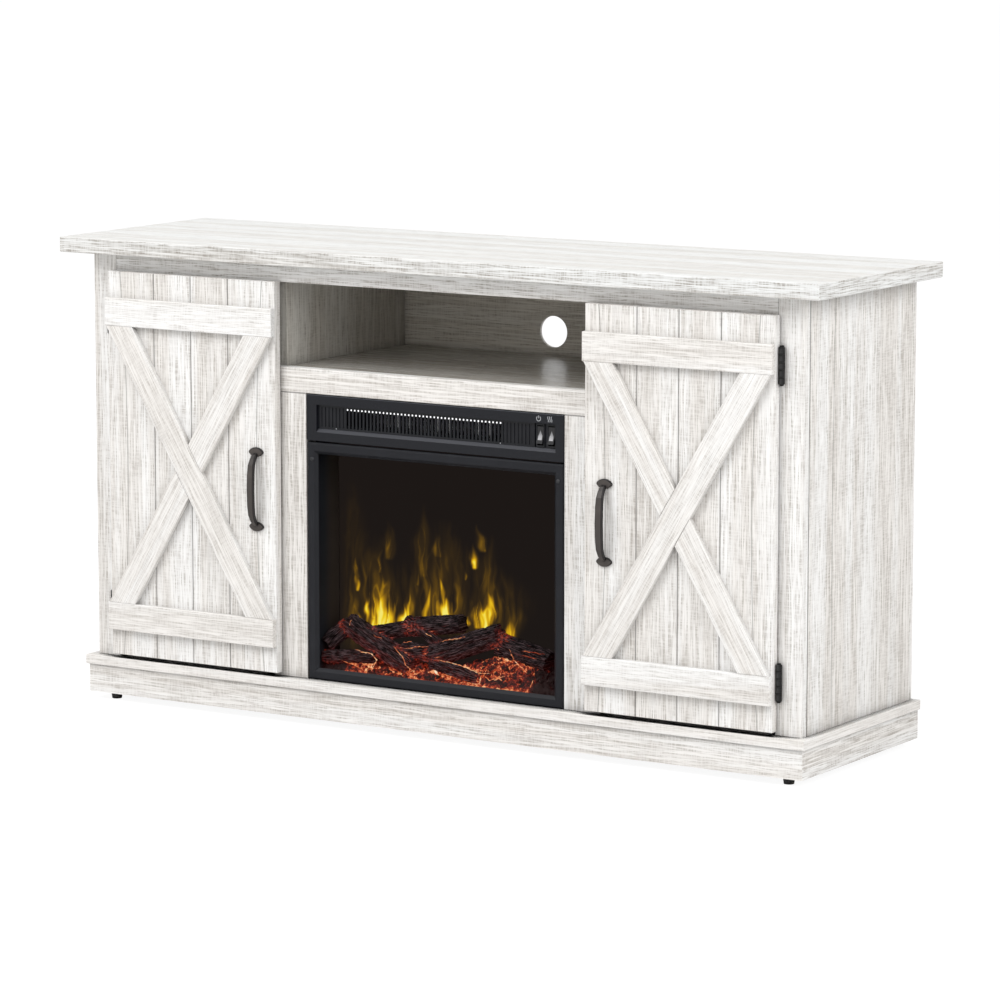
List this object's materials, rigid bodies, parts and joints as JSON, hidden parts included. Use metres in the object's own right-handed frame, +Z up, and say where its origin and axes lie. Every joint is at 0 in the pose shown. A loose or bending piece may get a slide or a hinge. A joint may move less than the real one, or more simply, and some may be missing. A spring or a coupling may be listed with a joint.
{
  "type": "electric fireplace media console",
  "caption": "Low white wood-grain media console with barn-style X-braced doors, an open cubby over a glazed electric firebox with a louvred heater outlet, and rocker switches.",
  "frame": {"origin": "on the floor, under the middle of the box that holds the whole console", "axes": "+X runs right along the front, +Y runs from the front to the back, +Z is up"},
  "size_m": [1.359, 0.3932, 0.742],
  "materials": {
    "white_laminate": "whitewashed wood-grain laminate, satin",
    "back_board": "thin printed fibreboard, matte",
    "raw_pine": "unfinished",
    "black_glide": "moulded, matte",
    "plated_steel": "zinc plated",
    "bronze": "dark oil-rubbed bronze, satin",
    "black_hinge": "black, satin",
    "catch_plastic": "moulded, off-white",
    "insert_black": "black powder coat, satin",
    "bezel_black": "fine satin",
    "rocker_black": "glossy",
    "tinted_glass": "lightly tinted, polished",
    "flame_diffuser": "smoked diffuser sheet",
    "log_resin": "painted char and bark",
    "ember_resin": "translucent, lit from below",
    "circuit_board": "solder mask",
    "bright_foil": "bright",
    "zinc_sheet": "galvanised",
    "rubber": "matte"
  },
  "bodies": {
    "cabinet": {"back_panel_center": "back_board", "back_panel_left": "back_board", "back_panel_right": "back_board", "base_blocks": "raw_pine", "base_front": "white_laminate", "base_rear": "white_laminate", "base_sides": "white_laminate", "blower_housing": "zinc_sheet", "blower_motor": "zinc_sheet", "bottom_panel": "white_laminate", "cabinet_shelves": "white_laminate", "cord_gland": "rubber", "ember_bed": "ember_resin", "face_bezel": "bezel_black", "feet": "black_glide", "firebox_back": "insert_black", "firebox_stile_left": "white_laminate", "firebox_stile_right": "white_laminate", "firebox_wrap": "insert_black", "flame_motor": "zinc_sheet", "flame_screen": "flame_diffuser", "front_stile_left": "white_laminate", "front_stile_right": "white_laminate", "heater_deck": "insert_black", "heating_element": "bright_foil", "hinge_frame_leaves": "black_hinge", "hinge_pins": "black_hinge", "insert_brackets": "zinc_sheet", "light_board": "circuit_board", "log_set": "log_resin", "magnetic_catches": "catch_plastic", "media_shelf": "white_laminate", "outlet_grille": "bezel_black", "partition_left": "white_laminate", "partition_right": "white_laminate", "shelf_front_rail": "white_laminate", "shelf_pins": "plated_steel", "side_panel_left": "white_laminate", "side_panel_right": "white_laminate", "switch_bodies": "bezel_black", "top_panel": "white_laminate", "top_rail": "white_laminate", "window_frame": "insert_black", "window_glass": "tinted_glass"},
    "door_left": {"door_panel_left": "white_laminate", "door_battens_left": "white_laminate", "door_braces_left": "white_laminate", "handle_left": "bronze", "hinge_door_leaves_left": "black_hinge", "strike_plate_left": "plated_steel"},
    "door_right": {"door_panel_right": "white_laminate", "door_battens_right": "white_laminate", "door_braces_right": "white_laminate", "handle_right": "bronze", "hinge_door_leaves_right": "black_hinge", "strike_plate_right": "plated_steel"},
    "power_rocker": {"power_switch": "rocker_black"},
    "heat_rocker": {"heat_switch": "rocker_black"},
    "flicker_rod": {"flame_rotor": "bright_foil"},
    "blower_rotor": {"blower_wheel": "bright_foil"}
  },
  "joints": [
    {"name": "door_left_hinge", "type": "hinge", "parent": "cabinet", "child": "door_left", "pos_m": [-0.60355, -0.16373, 0.3845], "axis": [0, 0, -1], "range_deg": [0, 105]},
    {"name": "door_right_hinge", "type": "hinge", "parent": "cabinet", "child": "door_right", "pos_m": [0.60355, -0.16373, 0.3845], "axis": [0, 0, 1], "range_deg": [0, 105]},
    {"name": "power_rock", "type": "hinge", "parent": "cabinet", "child": "power_rocker", "pos_m": [0.1883, -0.15097, 0.48425], "axis": [1, 0, 0], "range_deg": [0, 19]},
    {"name": "heat_rock", "type": "hinge", "parent": "cabinet", "child": "heat_rocker", "pos_m": [0.208, -0.15097, 0.48425], "axis": [1, 0, 0], "range_deg": [0, 19]},
    {"name": "flicker_spin", "type": "hinge", "parent": "cabinet", "child": "flicker_rod", "pos_m": [0, -0.05838, 0.108], "axis": [1, 0, 0], "continuous": true},
    {"name": "blower_spin", "type": "hinge", "parent": "cabinet", "child": "blower_rotor", "pos_m": [0, -0.06338, 0.484], "axis": [1, 0, 0], "continuous": true}
  ]
}
